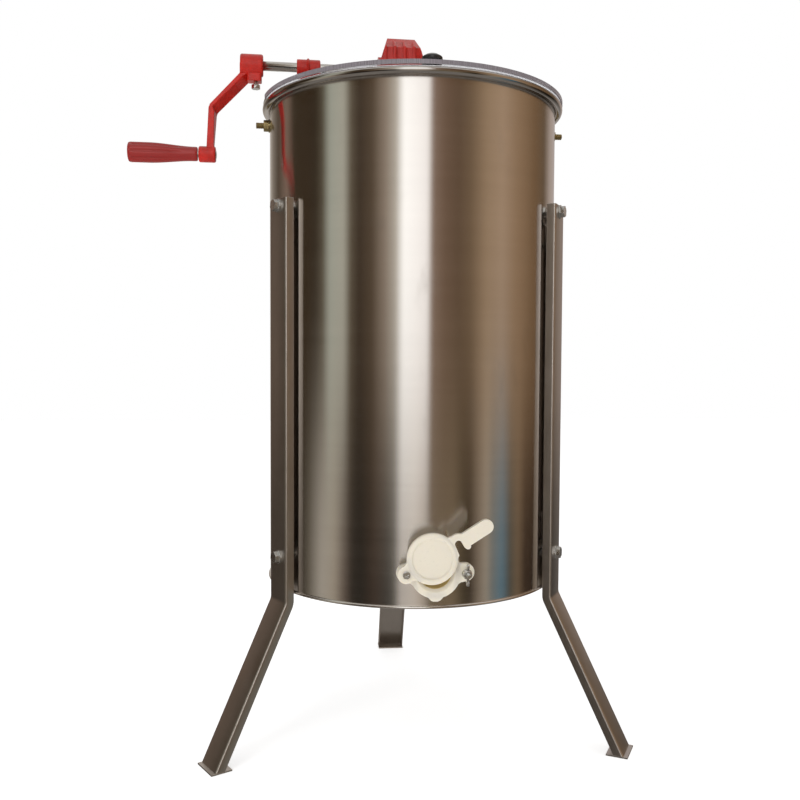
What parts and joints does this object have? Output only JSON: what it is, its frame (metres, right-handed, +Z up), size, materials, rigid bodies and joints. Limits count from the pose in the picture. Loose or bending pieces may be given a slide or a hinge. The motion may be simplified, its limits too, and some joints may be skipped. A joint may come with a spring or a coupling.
{
  "type": "honey extractor",
  "caption": "Hand-cranked tangential honey extractor: steel drum on splayed legs, geared frame basket on a spindle, clear hinged half lids, side crank and plastic honey gate.",
  "frame": {"origin": "the drum's axis at the level of the floor", "axes": "+Z up along the drum and the spindle, the honey gate faces -Y, the crossbar and the crank shaft lie along X with the crank at -X"},
  "size_m": [0.6423, 0.5407, 0.919],
  "materials": {
    "drum_steel": "finely brushed round the drum",
    "leg_steel": "mill finish",
    "bar_steel": "brushed",
    "basket_steel": "polished wire and strip",
    "shaft_steel": "turned",
    "zinc": "bright zinc plate",
    "yellow_zinc": "yellow passivated zinc",
    "red_paint": "glossy red paint over a casting",
    "gate_plastic": "ivory moulded nylon",
    "nylon": "white nylon",
    "gasket_rubber": "soft black rubber",
    "grip_plastic": "fluted dark red plastic",
    "clear_lid": "clear acrylic sheet with frosted edges",
    "knob_plastic": "black plastic"
  },
  "bodies": {
    "tank": {"drum_shell": "drum_steel", "drum_floor": "drum_steel", "leg_left": "leg_steel", "leg_right": "leg_steel", "leg_rear": "leg_steel", "foot_plates": "leg_steel", "leg_brackets": "leg_steel", "leg_bolts": "zinc", "leg_nuts": "zinc", "bracket_bolts": "zinc", "crossbar": "bar_steel", "crossbar_bolts": "yellow_zinc", "crossbar_nuts": "yellow_zinc", "shaft_bearing": "red_paint", "bearing_screws": "zinc", "gear_frame": "red_paint", "gear_frame_screws": "zinc", "gear_hood": "red_paint", "hood_screws": "zinc", "top_bush": "nylon", "bottom_cup": "nylon", "thrust_ball": "zinc", "gate_body": "gate_plastic", "gate_gasket": "gasket_rubber", "gate_lock_nut": "gate_plastic", "gate_pivot_screw": "zinc", "gate_stud": "zinc", "hinge_fixed_leaves": "bar_steel", "hinge_pins": "zinc", "hinge_screws": "zinc"},
    "crank": {"crank_shaft": "shaft_steel", "shaft_collar": "zinc", "drive_gear": "shaft_steel", "crank_arm": "red_paint", "crank_set_bolt": "zinc", "grip_pin": "zinc"},
    "grip": {"crank_grip": "grip_plastic"},
    "basket": {"spindle": "shaft_steel", "pinion": "shaft_steel", "top_spider": "basket_steel", "bottom_spider": "basket_steel", "cage_long_bars": "basket_steel", "cage_end_bars": "basket_steel", "cage_rods": "basket_steel", "outer_screens": "basket_steel", "inner_screens": "basket_steel", "frame_rests": "basket_steel"},
    "front_lid": {"front_lid": "clear_lid", "front_lid_leaves": "bar_steel", "front_lid_knob": "knob_plastic"},
    "rear_lid": {"rear_lid": "clear_lid", "rear_lid_leaves": "bar_steel", "rear_lid_knob": "knob_plastic"},
    "flap": {"gate_flap": "gate_plastic"},
    "wing": {"wing_nut": "zinc"}
  },
  "joints": [
    {"name": "basket_spin", "type": "hinge", "parent": "tank", "child": "basket", "pos_m": [0, 0, 0.5], "axis": [0, 0, 1], "continuous": true},
    {"name": "crank_turn", "type": "hinge", "parent": "tank", "child": "crank", "pos_m": [-0.1, 0, 0.878], "axis": [1, 0, 0], "continuous": true},
    {"name": "grip_spin", "type": "hinge", "parent": "crank", "child": "grip", "pos_m": [-0.33, 0, 0.76], "axis": [1, 0, 0], "continuous": true},
    {"name": "front_lid_hinge", "type": "hinge", "parent": "tank", "child": "front_lid", "pos_m": [0, -0.0335, 0.832], "axis": [-1, 0, 0], "range_deg": [0, 90]},
    {"name": "rear_lid_hinge", "type": "hinge", "parent": "tank", "child": "rear_lid", "pos_m": [0, 0.0335, 0.832], "axis": [1, 0, 0], "range_deg": [0, 90]},
    {"name": "flap_pivot", "type": "hinge", "parent": "tank", "child": "flap", "pos_m": [-0.0345, -0.2183, 0.248], "axis": [0, -1, 0], "range_deg": [-30, 60]},
    {"name": "wing_nut_turn", "type": "hinge", "parent": "tank", "child": "wing", "pos_m": [0.0345, -0.225, 0.248], "axis": [0, -1, 0], "continuous": true}
  ],
  "couplings": [
    {"joint": "crank_turn", "follows": "basket_spin", "ratio": -0.5}
  ]
}
